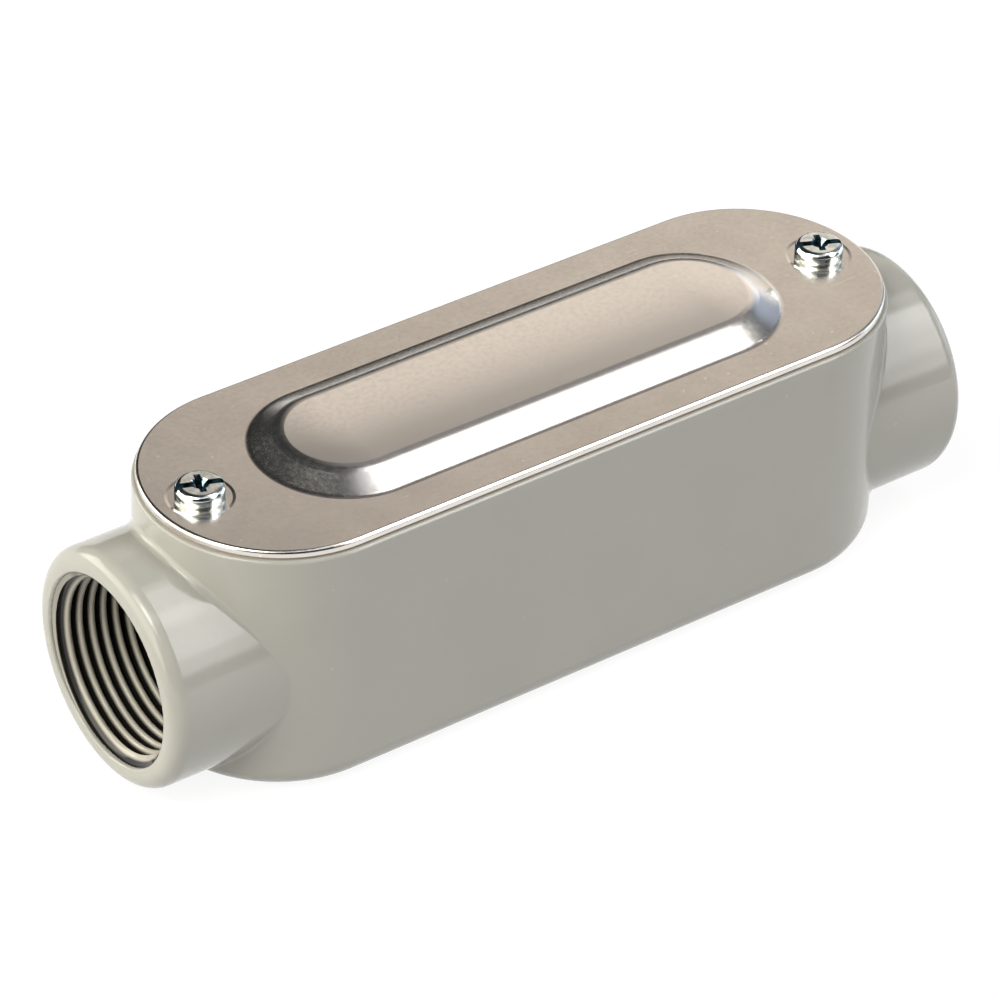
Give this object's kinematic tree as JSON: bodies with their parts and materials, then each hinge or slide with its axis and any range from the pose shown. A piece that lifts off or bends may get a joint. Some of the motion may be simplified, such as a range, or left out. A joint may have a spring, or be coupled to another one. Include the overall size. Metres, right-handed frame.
{
  "type": "conduit body",
  "caption": "Straight-through oval conduit body: a cast housing with a threaded hub at each end and a pressed cover with a raised panel, held by pan-head screws over a gasket.",
  "frame": {"origin": "middle of the flat back, under the centre of the casting", "axes": "+X along the conduit run, through both hubs; +Z out of the open side, towards the cover"},
  "size_m": [0.1592, 0.0466, 0.0504],
  "materials": {
    "housing_paint": "glossy light grey enamel on cast aluminium",
    "gasket_rubber": "matt tan sheet",
    "cover_metal": "satin rolled sheet with bright bends",
    "screw_zinc": "bright zinc plate"
  },
  "bodies": {
    "conduit_body": {"housing": "housing_paint", "gasket": "gasket_rubber", "cover": "cover_metal"},
    "left_screw": {"cover_screw_left": "screw_zinc"},
    "right_screw": {"cover_screw_right": "screw_zinc"}
  },
  "joints": [
    {"name": "left_screw_turn", "type": "hinge", "parent": "conduit_body", "child": "left_screw", "pos_m": [-0.06185, 0, 0.0476], "axis": [0, 0, 1], "range_deg": [0, 2880]},
    {"name": "right_screw_turn", "type": "hinge", "parent": "conduit_body", "child": "right_screw", "pos_m": [0.06185, 0, 0.0476], "axis": [0, 0, 1], "range_deg": [0, 2880]}
  ]
}
